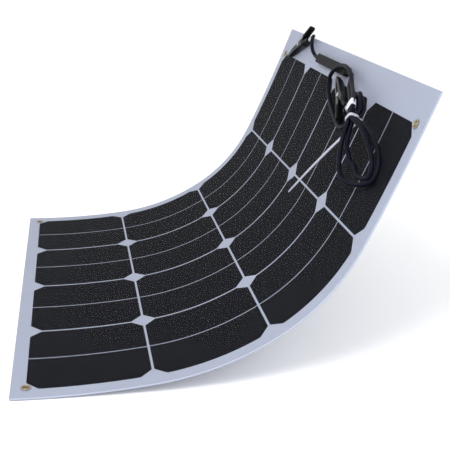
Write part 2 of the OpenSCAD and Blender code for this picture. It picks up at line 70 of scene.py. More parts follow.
@dataclass(frozen=True)
class Viewpoint:
    """Where the camera stands, in metres, and how long its lens is."""

    place: tuple[float, float, float] = (0.04414, -0.73046, 0.42377)
    forward: tuple[float, float, float] = (0.18614, 0.92730, -0.32476)
    up: tuple[float, float, float] = (0.01537, 0.32775, 0.94464)
    lens_mm: float = 65.85
    sensor_mm: float = 36.0

    def build(self) -> bpy.types.Object:
        """Makes the camera and gives it to the scene.

        Returns:
            The camera object.
        """
        data = bpy.data.cameras.new("view_camera")
        data.lens = self.lens_mm
        data.sensor_width = self.sensor_mm
        data.clip_start = 0.01
        data.clip_end = 50.0
        camera = bpy.data.objects.new("view_camera", data)
        bpy.context.scene.collection.objects.link(camera)
        ahead = Vector(self.forward).normalized()
        side = ahead.cross(Vector(self.up)).normalized()
        above = side.cross(ahead)
        turn = Matrix((side, above, -ahead)).transposed().to_4x4()
        camera.matrix_world = Matrix.Translation(self.place) @ turn
        bpy.context.scene.camera = camera
        return camera


# ---------------------------------------------------------------- finishes


DRIFT_SHARE = 0.06  # scale of the broad noise, as a share of the grain
DRIFT_DETAIL = 5.0
FINE_DETAIL = 3.0
LEAST_ROUGH = 0.02
DARK_AT, LIGHT_AT = 0.3, 0.7  # where the broad noise turns dark and light
RUB_NOISE = {"Scale": 260.0, "Detail": 8.0, "Roughness": 0.7}
RUB_FROM, RUB_TO = 0.62, 0.72  # noise that starts and ends a rubbed spot


class Pattern(Enum):
    """How a finish varies: the scale of its pattern along each axis."""

    PEBBLE = (1.0, 1.0, 1.0)
    BRUSHED = (1.0, 0.12, 1.0)
    CLOUD = (0.3, 0.3, 0.3)
    STREAK = (0.15, 1.0, 0.15)


def shading(tree: bpy.types.NodeTree, kind: str, inputs: dict) -> bpy.types.Node:
    """Adds a node to a material and sets its sockets.

    Args:
        tree: the material's node tree.
        kind: the node's type.
        inputs: values by the names of the sockets.

    Returns:
        The node.
    """
    node = tree.nodes.new(kind)
    for socket, value in inputs.items():
        node.inputs[socket].default_value = value
    return node


@dataclass(frozen=True)
class Finish:
    """One painted, moulded, rolled or coated surface.

    The colour drifts between base and base times shade with a noise pattern,
    the roughness drifts about its middle with the same pattern, and a finer
    pattern gives the bump.
    """

    name: str
    base: tuple[float, float, float]
    roughness: float = 0.5
    metallic: float = 0.0
    shade: float = 0.85
    spread: float = 0.06
    grain: float = 900.0
    bump: float = 0.1
    bump_mm: float = 0.05
    pattern: Pattern = Pattern.PEBBLE
    alpha: float = 1.0
    specular: float = 0.5
    wear: float = 0.0
    wear_color: tuple[float, float, float] = (0.5, 0.5, 0.5)

    def build(self) -> bpy.types.Material:
        """Makes the node material once and hands it out after that.

        Returns:
            The material.
        """
        known = bpy.data.materials.get(self.name)
        if known is not None:
            return known
        material = bpy.data.materials.new(self.name)
        material.use_nodes = True
        tree = material.node_tree
        join = tree.links.new
        shader = tree.nodes["Principled BSDF"]
        shader.inputs["Metallic"].default_value = self.metallic
        shader.inputs["Alpha"].default_value = self.alpha
        shader.inputs["Specular IOR Level"].default_value = self.specular
        place = tree.nodes.new("ShaderNodeTexCoord").outputs["Object"]
        stretch = shading(tree, "ShaderNodeMapping", {"Scale": self.pattern.value})
        join(place, stretch.inputs["Vector"])
        broad = {"Scale": self.grain * DRIFT_SHARE, "Detail": DRIFT_DETAIL}
        drift = shading(tree, "ShaderNodeTexNoise", broad)
        join(stretch.outputs["Vector"], drift.inputs["Vector"])
        join(self.colour(tree, drift, place), shader.inputs["Base Color"])
        low = max(LEAST_ROUGH, self.roughness - self.spread)
        high = min(1.0, self.roughness + self.spread)
        rough = shading(tree, "ShaderNodeMapRange", {"To Min": low, "To Max": high})
        join(drift.outputs["Fac"], rough.inputs["Value"])
        join(rough.outputs["Result"], shader.inputs["Roughness"])
        fine = shading(tree, "ShaderNodeTexNoise", {"Scale": self.grain, "Detail": FINE_DETAIL})
        join(stretch.outputs["Vector"], fine.inputs["Vector"])
        depth = {"Strength": self.bump, "Distance": self.bump_mm * MM}
        bump = shading(tree, "ShaderNodeBump", depth)
        join(fine.outputs["Fac"], bump.inputs["Height"])
        join(bump.outputs["Normal"], shader.inputs["Normal"])
        return material

    def colour(
        self, tree: bpy.types.NodeTree, drift: bpy.types.Node, place: bpy.types.NodeSocket
    ) -> bpy.types.NodeSocket:
        """Colour that drifts with the noise, with rubbed spots over it.

        Args:
            tree: the material's node tree.
            drift: the broad noise.
            place: the socket of the texture coordinates.

        Returns:
            The socket that carries the colour.
        """
        join = tree.links.new
        ramp = tree.nodes.new("ShaderNodeValToRGB")
        dark = tuple(c * self.shade for c in self.base)
        ends = ramp.color_ramp.elements
        ends[0].position, ends[1].position = DARK_AT, LIGHT_AT
        ends[0].color, ends[1].color = (*dark, 1.0), (*self.base, 1.0)
        join(drift.outputs["Fac"], ramp.inputs["Fac"])
        if self.wear <= 0.0:
            return ramp.outputs["Color"]
        spots = shading(tree, "ShaderNodeTexNoise", RUB_NOISE)
        join(place, spots.inputs["Vector"])
        edge = {"From Min": RUB_FROM, "From Max": RUB_TO, "To Max": self.wear}
        cut = shading(tree, "ShaderNodeMapRange", edge)
        join(spots.outputs["Fac"], cut.inputs["Value"])
        mix = tree.nodes.new("ShaderNodeMix")
        mix.data_type = "RGBA"
        mix.inputs["B"].default_value = (*self.wear_color, 1.0)
        join(cut.outputs["Result"], mix.inputs["Factor"])
        join(ramp.outputs["Color"], mix.inputs["A"])
        return mix.outputs["Result"]


WHITE_LAMINATE = Finish(
    "white_laminate_finish", (0.349, 0.383, 0.486), 0.45,
    shade=0.96, grain=1400, bump=0.12, pattern=Pattern.CLOUD, specular=0.3,
)
CELL_BLACK = Finish(
    "cell_black_finish", (0.0085, 0.0090, 0.0112), 0.5,
    shade=0.8, grain=500, bump=0.03, specular=0.012, pattern=Pattern.STREAK,
)
CLEAR_FILM = Finish(
    "clear_film_finish", (0.02, 0.022, 0.03), 0.5,
    shade=0.9, grain=2600, bump=0.004, alpha=0.05, specular=0.08,
)
COPPER = Finish("copper_finish", (0.72, 0.36, 0.2), 0.35, metallic=1.0, pattern=Pattern.BRUSHED)
BRASS = Finish(
    "brass_finish", (0.38, 0.31, 0.2), 0.3,
    metallic=1.0, grain=1200, bump=0.06, wear=0.5, wear_color=(0.2, 0.15, 0.09),
)
BOX_BLACK = Finish(
    "box_black_finish", (0.006, 0.0064, 0.008), 0.5,
    grain=1800, bump=0.2, specular=0.07, wear=0.12, wear_color=(0.03, 0.03, 0.033),
)
FOAM_BLACK = Finish("foam_black_finish", (0.03, 0.03, 0.033), 0.85, grain=1500, bump=0.4)
JACKET = Finish(
    "jacket_finish", (0.0035, 0.0036, 0.010), 0.45,
    grain=1500, bump=0.1, specular=0.07, wear=0.15, wear_color=(0.02, 0.02, 0.035),
)
WHITE_NYLON = Finish(
    "white_nylon_finish", (0.40, 0.415, 0.49), 0.4, shade=0.93, grain=1300, bump=0.12
)
LABEL_WHITE = Finish(
    "label_white_finish", (0.62, 0.64, 0.74), 0.55, shade=0.95, grain=1800, bump=0.1
)
BOOT_BLACK = Finish(
    "boot_black_finish", (0.004, 0.0043, 0.005), 0.4,
    grain=1300, bump=0.12, specular=0.1, wear=0.15, wear_color=(0.03, 0.03, 0.03),
)
JAW_BLACK = Finish(
    "jaw_black_finish", (0.012, 0.0125, 0.015), 0.36,
    metallic=0.3, grain=1500, bump=0.08, specular=0.3, wear=0.5, wear_color=(0.3, 0.3, 0.31),
)
STEEL = Finish(
    "steel_finish", (0.52, 0.53, 0.55), 0.3,
    metallic=1.0, grain=1600, bump=0.08, pattern=Pattern.BRUSHED,
)
TINNED = Finish("tinned_finish", (0.70, 0.71, 0.74), 0.28, metallic=1.0, grain=1600, bump=0.08)
PALE_FLOOR = Finish(
    "pale_floor_finish", (0.96, 0.96, 0.96), 0.9, shade=0.995, grain=60, bump=0.0, specular=0.0
)


# ---------------------------------------------------------------- meshes


def carried(turn: Matrix, local: np.ndarray) -> np.ndarray:
    """Rows of points carried by a 4 by 4 matrix: each row p becomes M p + t.

    Args:
        turn: the matrix, in the rows' own unit.
        local: rows of three.

    Returns:
        As many rows of three.
    """
    m = np.array(turn)
    return np.asarray(local, float) @ m[:3, :3].T + m[:3, 3]


def ring_faces(rows: int, cols: int, wrap_rows: bool) -> np.ndarray:
    """Quads between rings: face (i, j) joins rings i and i+1, points j and j+1.

    Args:
        rows: how many rings there are.
        cols: how many points a ring has.
        wrap_rows: whether the last ring joins the first.

    Returns:
        One row of four indices a face.
    """
    last = rows if wrap_rows else rows - 1
    i, j = np.meshgrid(np.arange(last), np.arange(cols), indexing="ij")
    i, j = i.ravel(), j.ravel()
    k, m = (i + 1) % rows, (j + 1) % cols
    return np.stack([i * cols + j, k * cols + j, k * cols + m, i * cols + m], 1)


def volume_of(points: np.ndarray, faces: list[list[int]]) -> float:
    """Signed volume: a sixth of the sum of a . (b x c) over fan triangles.

    Args:
        points: the vertices.
        faces: the faces' vertex indices.

    Returns:
        The volume, below zero when the faces point inwards.
    """
    fans = np.array([(f[0], f[k], f[k + 1]) for f in faces for k in range(1, len(f) - 1)])
    a, b, c = (points[fans[:, k]] for k in range(3))
    return float(np.einsum("ij,ij->i", a, np.cross(b, c)).sum() / 6)


@dataclass
class Shell:
    """A closed surface in millimetres, as points and faces."""

    points: np.ndarray
    faces: list[list[int]]

    @staticmethod
    def of_grid(grid: np.ndarray, wrap_rows: bool = False) -> "Shell":
        """Closed tube from rings of points.

        Args:
            grid: rings by points by three.
            wrap_rows: whether the last ring joins the first; if not, both ends are capped.

        Returns:
            The shell, with its faces pointing outwards.
        """
        rows, cols, _ = grid.shape
        faces = ring_faces(rows, cols, wrap_rows).tolist()
        if not wrap_rows:
            faces.append(list(range(cols)))
            faces.append([(rows - 1) * cols + k for k in range(cols - 1, -1, -1)])
        return Shell(grid.reshape(-1, 3), faces).outward()

    def outward(self) -> "Shell":
        """The same shell with its faces pointing out.

        Returns:
            This shell, turned if it was inside out.
        """
        middle = self.points.mean(0)
        if volume_of(self.points - middle, self.faces) < 0:
            self.faces = [face[::-1] for face in self.faces]
        return self

    def moved(self, turn: Matrix) -> "Shell":
        """The shell carried by a 4 by 4 matrix in millimetres.

        Args:
            turn: the matrix.

        Returns:
            A new shell.
        """
        return Shell(carried(turn, self.points), self.faces).outward()


def joined(shells: list[Shell]) -> Shell:
    """Several shells as one list of points and faces.

    Args:
        shells: the shells.

    Returns:
        The joined shell.
    """
    points, faces, start = [], [], 0
    for shell in shells:
        points.append(shell.points)
        faces += [[v + start for v in face] for face in shell.faces]
        start += len(shell.points)
    return Shell(np.concatenate(points), faces)


def piece(
    name: str, shell: Shell, finish: Finish, sharp_deg: float = SHARP_DEG
) -> bpy.types.Object:
    """A named object from a shell, smooth except over sharp edges.

    Args:
        name: the object's name.
        shell: its surface in millimetres.
        finish: its finish.
        sharp_deg: edges that turn more than this stay sharp.

    Returns:
        The object, at the origin with its place in its mesh.
    """
    mesh = bpy.data.meshes.new(name)
    mesh.from_pydata((shell.points * MM).tolist(), [], shell.faces)
    mesh.update()
    mesh.polygons.foreach_set("use_smooth", np.ones(len(mesh.polygons), bool))
    mesh.set_sharp_from_angle(angle=math.radians(sharp_deg))
    mesh.materials.append(finish.build())
    made = bpy.data.objects.new(name, mesh)
    bpy.context.scene.collection.objects.link(made)
    return made


def fit(made: bpy.types.Object, body: str, slot: str, *nodes: str) -> bpy.types.Object:
    """Rides a piece on a body and says which CAD nodes it stands for.

    Args:
        made: the piece.
        body: the body it moves with.
        slot: the record's material slot; not used.
        nodes: the CAD nodes it replaces.

    Returns:
        The piece.
    """
    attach(made, body)
    if nodes:
        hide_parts(*nodes)
    LOG.info("%s rides on %s and stands for %s", made.name, body, ", ".join(nodes) or "itself")
    return made


def drilled(made: bpy.types.Object, cutter: Shell) -> None:
    """Cuts holes through a piece with a boolean, applied at once.

    Args:
        made: the piece.
        cutter: the surface that is taken away.
    """
    tool = piece("hole_cutter", cutter, WHITE_LAMINATE)
    cut = made.modifiers.new("holes", "BOOLEAN")
    cut.operation = "DIFFERENCE"
    cut.solver = "EXACT"
    cut.object = tool
    bpy.context.view_layer.update()
    ready = made.evaluated_get(bpy.context.evaluated_depsgraph_get())
    mesh = bpy.data.meshes.new_from_object(ready)
    made.modifiers.clear()
    old = made.data
    made.data = mesh
    mesh.name = made.name
    mesh.set_sharp_from_angle(angle=math.radians(SHARP_DEG))
    bpy.data.meshes.remove(old)
    bpy.data.objects.remove(tool)


def rounded_outline(width: float, length: float, radius: float, steps: int = 8) -> np.ndarray:
    """Corner-rounded rectangle about the origin: each corner is a quarter circle.

    Args:
        width: size along the first axis.
        length: size along the second axis.
        radius: corner radius.
        steps: points on each corner.

    Returns:
        The points, counter-clockwise.
    """
    quarter = np.linspace(0, math.pi / 2, steps)
    angle = np.concatenate([quarter + k * math.pi / 2 for k in range(4)])
    sx = np.repeat([1, -1, -1, 1], steps)
    sy = np.repeat([1, 1, -1, -1], steps)
    x = sx * (width / 2 - radius) + radius * np.cos(angle)
    y = sy * (length / 2 - radius) + radius * np.sin(angle)
    return np.stack([x, y], 1)


def rounded_block(
    width: float, length: float, radius: float, profile: tuple[tuple[float, float], ...]
) -> Shell:
    """Block lofted from one outline: each step is drawn in by an inset at a height.

    Args:
        width: size along the first axis.
        length: size along the second axis.
        radius: corner radius of the outline.
        profile: (inset, height) pairs from the bottom to the top.

    Returns:
        The closed block.
    """
    rings = []
    for inset, height in profile:
        flat = rounded_outline(width - 2 * inset, length - 2 * inset, max(radius - inset, 0.15))
        rings.append(np.column_stack([flat, np.full(len(flat), height)]))
    return Shell.of_grid(np.array(rings))


def lathe(profile: list[tuple[float, float]], steps: int = 64, closed: bool = True) -> Shell:
    """Turned shape: every (r, z) of the profile goes round the Z axis.

    Args:
        profile: radii and heights in order.
        steps: points round the axis.
        closed: whether the profile is a loop, as on a ring.

    Returns:
        The closed surface.
    """
    rz = np.array(profile)
    angle = np.linspace(0, 2 * math.pi, steps, endpoint=False)
    radius, height = rz[:, 0, None], np.repeat(rz[:, 1, None], steps, 1)
    grid = np.stack([radius * np.cos(angle), radius * np.sin(angle), height], 2)
    return Shell.of_grid(grid, wrap_rows=closed)


def smooth_line(route: np.ndarray, steps: int) -> np.ndarray:
    """Catmull-Rom line: each span is a cubic with slopes (next - previous) / 2.

    Args:
        route: the points it passes through.
        steps: how many pieces each span is cut into.

    Returns:
        The points of the line.
    """
    p = np.asarray(route, float)
    a, b = np.vstack([p[:1], p[:-2]]), p[:-1]
    c, d = p[1:], np.vstack([p[2:], p[-1:]])
    t = np.linspace(0, 1, steps, endpoint=False)[None, :, None]
    a, b, c, d = (q[:, None, :] for q in (a, b, c, d))
    square, cube = 2 * a - 5 * b + 4 * c - d, 3 * b - a - 3 * c + d
    spans = 0.5 * (2 * b + (c - a) * t + square * t**2 + cube * t**3)
    return np.vstack([spans.reshape(-1, 3), p[-1:]])


def tube(line: np.ndarray, radius: float, sides: int, reference: tuple[float, ...]) -> Shell:
    """Round tube: a circle carried along a line, square to its heading.

    Args:
        line: the centre points.
        radius: the tube's radius.
        sides: points round it.
        reference: a direction that the line never runs along.

    Returns:
        The closed tube.
    """
    heading = np.gradient(line, axis=0)
    heading /= np.linalg.norm(heading, axis=1, keepdims=True)
    side = np.cross(np.array(reference, float), heading)
    side /= np.linalg.norm(side, axis=1, keepdims=True)
    above = np.cross(heading, side)
    angle = np.linspace(0, 2 * math.pi, sides, endpoint=False)[None, :, None]
    ring = np.cos(angle) * side[:, None, :] + np.sin(angle) * above[:, None, :]
    return Shell.of_grid(line[:, None, :] + radius * ring)


# ---------------------------------------------------------------- layout


@dataclass(frozen=True)
class SheetCurve:
    """The curved sheet: four arcs of one cell each, with flat gaps between."""

    cell: float = 125.0
    gap: float = 2.5
    bends: tuple[float, ...] = (8.0, 25.0, 33.0, 4.0)
    top: float = 2.5
    free_margin: float = 15.0
    box_margin: float = 37.5
    side_margin: float = 16.25
    cut_leg: float = 12.4
    half_line: float = 1.5

    @property
    def middle(self) -> float:
        """Height of the neutral line over the back face."""
        return self.top / 2

    @property
    def pitch(self) -> float:
        """Distance from one cell to the next."""
        return self.cell + self.gap

    @property
    def width(self) -> tuple[float, float]:
        """Near and far edge of the sheet, across it."""
        first = -self.gap
        return first - self.side_margin, first + 4 * self.pitch - self.gap + self.side_margin

    @property
    def half(self) -> float:
        """Width of half a cell, beside the line that parts it."""
        return (self.cell - self.half_line) / 2

    def half_start(self, row: int) -> float:
        """Near edge of a half cell.

        Args:
            row: 0 to 7, from the near edge of the sheet.

        Returns:
            Its y.
        """
        first = -self.gap + (row // 2) * self.pitch
        return first + (row % 2) * (self.half + self.half_line)

    def start_of(self, column: int) -> tuple[float, float, float]:
        """Start of a column's neutral line: arc ends and flat gaps added up.

        Args:
            column: 0 at the free end to 3 at the box end.

        Returns:
            x, z and the heading in degrees.
        """
        x, z, turn = 0.0, self.middle, 0.0
        for bend in self.bends[:column]:
            radius = self.radius(bend)
            a, b = math.radians(turn), math.radians(turn + bend)
            x += radius * (math.sin(b) - math.sin(a)) + self.gap * math.cos(b)
            z += radius * (math.cos(a) - math.cos(b)) + self.gap * math.sin(b)
            turn += bend
        return x, z, turn

    def radius(self, bend: float) -> float:
        """Radius of an arc: its length over its angle in radians.

        Args:
            bend: the arc's angle in degrees.

        Returns:
            The radius of the neutral line.
        """
        return self.cell / math.radians(bend)

    def place(self, column: int, s: np.ndarray, y: np.ndarray, h: np.ndarray) -> np.ndarray:
        """Points of the sheet: an arc of the column, straight beyond both ends.

        With a the heading at s, the neutral point is the arc's centre plus
        R (sin a, -cos a), and the height goes along (-sin a, cos a).

        Args:
            column: 0 to 3.
            s: distance along the column from its start.
            y: distance across the sheet.
            h: height over the back face.

        Returns:
            The points, one row each.
        """
        s, y, h = np.broadcast_arrays(*(np.asarray(v, float) for v in (s, y, h)))
        x0, z0, turn = self.start_of(column)
        radius = self.radius(self.bends[column])
        start = math.radians(turn)
        inside = np.clip(s, 0, self.cell)
        heading = start + inside / radius
        beyond = s - inside
        x = x0 + radius * (np.sin(heading) - math.sin(start)) + beyond * np.cos(heading)
        z = z0 + radius * (math.cos(start) - np.cos(heading)) + beyond * np.sin(heading)
        lift = h - self.middle
        return np.stack([x - lift * np.sin(heading), y, z + lift * np.cos(heading)], -1)

    def slab(
        self, column: int, s: np.ndarray, low: np.ndarray, high: np.ndarray, h0: float, h1: float
    ) -> Shell:
        """Thin slab: a chamfered rectangle in (y, h) carried along s.

        Args:
            column: 0 to 3.
            s: the stations along the column.
            low: near edge at each station.
            high: far edge at each station.
            h0: bottom height.
            h1: top height.

        Returns:
            The closed slab.
        """
        s = np.asarray(s, float)
        low, high = np.broadcast_to(low, s.shape), np.broadcast_to(high, s.shape)
        c = min(0.2, 0.3 * (h1 - h0))
        y = np.stack([low + c, high - c, high, high, high - c, low + c, low, low], 1)
        h = np.array([h0, h0, h0 + c, h1 - c, h1, h1, h1 - c, h0 + c])
        return Shell.of_grid(self.place(column, s[:, None], y, h[None, :]))


CURVE = SheetCurve()


@dataclass(frozen=True)
class MarginFrame:
    """Flat frame of the box-end margin, read from the record's mounts."""

    origin: tuple[float, float, float]
    normal: tuple[float, float, float]

    @staticmethod
    def from_record() -> "MarginFrame":
        """The frame at the near grommet of the box end.

        Returns:
            The frame, in millimetres.
        """
        mount = next(m for m in RECORD["mounts"] if m["name"] == "grommet_box_near")
        return MarginFrame(tuple(v / MM for v in mount["pos_m"]), tuple(mount["axis"]))

    def matrix(self) -> Matrix:
        """Columns: along the sheet, across it, off its back face, and the origin.

        Returns:
            The matrix from (u, y, h) to the shared frame, in millimetres.
        """
        n = Vector(self.normal).normalized()
        across = Vector((0, 1, 0))
        along = across.cross(n)
        turn = Matrix((along, across, n)).transposed().to_4x4()
        return Matrix.Translation(self.origin) @ turn

    def points(self, local: np.ndarray) -> np.ndarray:
        """Points of the margin in the shared frame, in millimetres.

        Args:
            local: rows of (u, y, h).

        Returns:
            The same rows in the shared frame.
        """
        return carried(self.matrix(), local)


MARGIN = MarginFrame.from_record()


def turned(axis: str, degrees: float) -> Matrix:
    """Rotation about a main axis.

    Args:
        axis: X, Y or Z.
        degrees: the angle.

    Returns:
        The 4 by 4 matrix.
    """
    return Matrix.Rotation(math.radians(degrees), 4, axis)


# ---------------------------------------------------------------- leads


@dataclass
class Leads:
    """The two leads.

    The short, out and return routes are (u, y, h) of the margin. The fold is in
    the tie's frame and the outline of the hank in the hank's own.
    """

    diameter: float = 5.0
    sides: int = 18
    span_steps: int = 10
    tie_at: tuple[float, float, float] = (-24.5, 99.5, 24.0)
    tie_turn: float = -38.0
    hank_tilt: float = 10.2
    hank_turn: float = -128.0
    hank_middle: tuple[float, float] = (55.0, 0.0)
    inner_draw: float = 5.6
    leg_draw: float = 2.2
    leg_width: float = 27.0
    slot: float = 2.6
    short_route: tuple = (
        (16, 341, 6.5), (17, 350, 7.2), (22, 360, 10.5), (31, 369, 13),
        (38, 378, 11.5), (39.4, 386.6, 8.6), (34.8, 393.2, 8),
    )
    out_route: tuple = (
        (16, 207, 6.5), (15.5, 198, 7), (10.5, 185, 10.5), (1.5, 167, 15),
        (-8, 137, 20), (-17, 115, 24.5),
    )
    return_route: tuple = (
        (-12, 111, 24.5), (-2.8, 134, 20), (6.8, 164, 15), (15.5, 183, 13.5), (21, 203, 13.6),
        (20.5, 222, 13.6), (14, 238, 13.6), (4, 250, 12), (-7, 252, 8.5), (-17, 244, 6.5),
        (-26, 228, 6), (-34, 207, 6), (-40, 186, 6.5), (-43.5, 167, 7), (-41, 152, 7.5),
        (-32, 146, 8), (-25.5, 151, 8), (-22.6, 158, 8),
    )
    fold_route: tuple = (
        (2.6, 0, -2.6), (5, 6, -5), (9.8, 11, -5), (14.6, 17.7, -2.1), (13.6, 26, -1.8),
        (7.2, 31.1, -4.1), (-0.7, 30, -7.8), (-5.6, 23.3, -10.7), (-5.4, 16.7, -11.3),
        (-4, 8, -7), (-2.6, 0, -2.6),
    )
    hank_route: tuple = (
        (18, -17), (39, -26), (61, -27), (81, -9), (90, 13), (76, 26), (51, 26), (22, 15),
    )

    def tie_frame(self) -> Matrix:
        """Frame of the tie: X across the bundle, Y along it, Z off the sheet.

        Returns:
            The matrix from tie to margin coordinates.
        """
        return Matrix.Translation(self.tie_at) @ turned("Z", self.tie_turn)

    def hank_frame(self) -> Matrix:
        """Frame of the hank: X away from the tie, Y across, Z through the turns.

        Returns:
            The matrix from hank to margin coordinates.
        """
        lean = turned("X", self.hank_tilt) @ turned("Z", self.hank_turn)
        return Matrix.Translation(self.tie_at) @ lean

    def turn_of_hank(self, draw_in: float, w0: float, w1: float) -> np.ndarray:
        """One turn: the outline drawn in towards its middle, from height w0 to w1.

        The draw grows from nothing 10 mm from the tie to its whole 50 mm from
        it. The leg at negative Y is drawn in up to 1 + leg_draw times as far.

        Args:
            draw_in: how far the leg at positive Y is drawn in.
            w0: height at its start.
            w1: height at its end.

        Returns:
            Rows of the margin.
        """
        flat = np.array(self.hank_route, float)
        spoke = flat - np.array(self.hank_middle)
        share = np.clip((flat[:, :1] - 10) / 40, 0, 1)
        pull = draw_in * (1 + self.leg_draw * np.clip(-flat[:, 1:] / self.leg_width, 0, 1))
        flat = flat - pull * share * spoke / np.linalg.norm(spoke, axis=1, keepdims=True)
        step = np.linspace(0, 1, len(flat))
        height = w0 + (w1 - w0) * np.clip((step - 0.25) / 0.5, 0, 1)
        return carried(self.hank_frame(), np.column_stack([flat, height]))

    def long_route(self) -> np.ndarray:
        """Box, bundle, tie, turn, fold, turn, tie, bundle, loop, clip.

        Returns:
            Rows of the margin.
        """
        tie, side = self.tie_frame(), self.slot
        return np.vstack([
            np.array(self.out_route, float),
            carried(tie, [(-side, 0, side)]),
            self.turn_of_hank(0, side, -side),
            carried(tie, self.fold_route),
            self.turn_of_hank(self.inner_draw, -side, side),
            carried(tie, [(side, 0, side)]),
            np.array(self.return_route, float),
        ])

    def build(self, riders: dict[int, list[bpy.types.Object]]) -> None:
        """Makes the two leads, logs the CAD nodes they stand for and lays them on column 4.

        Args:
            riders: the pieces on each lead, by the number of its clip; not used.
        """
        for name, route, nodes, lay, clip in (
            ("lead_short_tube", self.short_route, ("lead_short",), "loose", 1),
            ("lead_long_tube", self.long_route(), ("lead_out", "lead_hank", "lead_return"), "coiled", 2),
        ):
            line = MARGIN.points(smooth_line(route, self.span_steps))
            shell = tube(line, self.diameter / 2, self.sides, MARGIN.normal)
            made = fit(piece(name, shell, JACKET), "column_4", "lead_jacket", *nodes)


# ---------------------------------------------------------------- laminate


@dataclass
class Laminate:
    """White sheet, half cells, copper tabs and clear film of the four columns."""

    white_top: float = 1.85
    cell_low: float = 1.7
    cell_top: float = 1.95
    film_low: float = 2.0
    step_mm: float = 2.5
    hole_r: float = 3.3
    hole_reach: tuple[float, float] = (-4.0, 8.0)
    end_play: float = 0.02
    tab_low: float = 1.5
    tab_top: float = 1.6
    tab_reach: float = 5.0
    tab_sides: tuple[float, float] = (-16.0, 16.0)

    def stations(self, low: float, high: float) -> np.ndarray:
        """Even stations a few millimetres apart.

        Args:
            low: first station.
            high: last station.

        Returns:
            The stations.
        """
        return np.linspace(low, high, max(2, int(round((high - low) / self.step_mm)) + 1))

    def reach(self, column: int) -> tuple[float, float]:
        """How far a column's layers run along s, margins included.

        Args:
            column: 0 to 3.

        Returns:
            First and last s.
        """
        low = -CURVE.free_margin if column == 0 else 0.0
        high = CURVE.cell + (CURVE.box_margin if column == 3 else 0.0)
        return low, high

    def half_cell(self, column: int, row: int) -> Shell:
        """One half cell: y limits that follow the two cut corners.

        At s from an end nearer than the leg, the cut side stands back by
        leg - s.

        Args:
            column: 0 to 3.
            row: 0 to 7, from the near edge.

        Returns:
            The thin slab.
        """
        low, leg = CURVE.half_start(row), CURVE.cut_leg
        even = self.stations(self.end_play, CURVE.cell - self.end_play)
        s = np.unique(np.concatenate([even, [leg, CURVE.cell - leg]]))
        back = np.maximum(0, leg - np.minimum(s, CURVE.cell - s))
        near = low + (back if row % 2 == 0 else 0)
        far = low + CURVE.half - (back if row % 2 == 1 else 0)
        return CURVE.slab(column, s, near, far, self.cell_low, self.cell_top)

    def holes(self, column: int) -> Shell:
        """Two round cutters at the grommets of an end column.

        Args:
            column: 0 or 3.

        Returns:
            The cutters.
        """
        turn = Matrix.Identity(4) if column == 0 else MARGIN.matrix()
        post = lathe([(self.hole_r, h) for h in self.hole_reach], 48, closed=False)
        return joined([post.moved(turn @ Matrix.Translation((0, y, 0))) for y in GROMMET_YS])

    def tab_strip(self, column: int) -> Shell:
        """Sixteen copper tabs across a gap, each one narrow over the gap's middle.

        Args:
            column: the column before the gap.

        Returns:
            The tabs.
        """
        s = np.linspace(CURVE.cell - self.tab_reach, CURVE.cell + CURVE.gap + self.tab_reach, 13)
        away = np.abs(s - CURVE.cell - CURVE.gap / 2)
        half_w = np.interp(away, [0, 2.2, 3.4, 6.3], [0.8, 0.8, 1.5, 1.5])
        tabs = []
        for row in range(8):
            for side in self.tab_sides:
                mid = CURVE.half_start(row) + CURVE.half / 2 + side
                edges = (mid - half_w, mid + half_w)
                tabs.append(CURVE.slab(column, s, *edges, self.tab_low, self.tab_top))
        return joined(tabs)

    def layers(self, column: int, s: np.ndarray) -> tuple[Shell, Shell]:
        """White sheet and clear film over some stations, from edge to edge.

        Args:
            column: 0 to 3.
            s: the stations.

        Returns:
            The white layer and the film.
        """
        white = CURVE.slab(column, s, *CURVE.width, 0, self.white_top)
        return white, CURVE.slab(column, s, *CURVE.width, self.film_low, CURVE.top)

    def build(self) -> None:
        """Makes every layer and strip."""
        for column in range(4):
            body, tag = f"column_{column + 1}", column + 1
            under, over = self.layers(column, self.stations(*self.reach(column)))
            white = piece(f"white_sheet_{tag}", under, WHITE_LAMINATE)
            film = piece(f"clear_film_{tag}", over, CLEAR_FILM)
            if column in (0, 3):
                drilled(white, self.holes(column))
                drilled(film, self.holes(column))
            halves = joined([self.half_cell(column, row) for row in range(8)])
            cells = piece(f"cell_faces_{tag}", halves, CELL_BLACK)
            fit(white, body, "white_laminate", f"backsheet_{tag}", f"rear_encapsulant_{tag}")
            fit(cells, body, "black_cell", f"half_cells_{tag}")
            fit(film, body, "clear_film", f"front_encapsulant_{tag}", f"front_film_{tag}")
            if column < 3:
                self.strip(column)

    def strip(self, column: int) -> None:
        """The flat strip after a column, with its copper tabs.

        Args:
            column: 0 to 2.
        """
        tag = column + 1
        s = np.linspace(CURVE.cell, CURVE.cell + CURVE.gap, 9)
        past = s[[0, -1]] + np.array([-self.tab_reach, self.tab_reach])
        ends = CURVE.place(column, s[[0, -1]], 0.0, CURVE.middle) * MM
        wide = CURVE.place(column, past, 0.0, CURVE.middle) * MM
        under, over = self.layers(column, s)
        white = piece(f"gap_strip_{tag}", under, WHITE_LAMINATE)
        film = piece(f"gap_film_{tag}", over, CLEAR_FILM)
        tabs = piece(f"gap_copper_{tag}", self.tab_strip(column), COPPER)
        for made, slot, nodes, line in (
            (white, "white_laminate", (f"flex_gap_{tag}",), ends),
            (film, "clear_film", (), ends),
            (tabs, "copper_ribbon", (f"gap_tabs_{tag}",), wide),
        ):
            if nodes:
                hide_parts(*nodes)
            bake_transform(made)
            LOG.info("%s bends between columns %d and %d", made.name, tag, tag + 1)


GROMMET_YS = (0.0, 502.5)


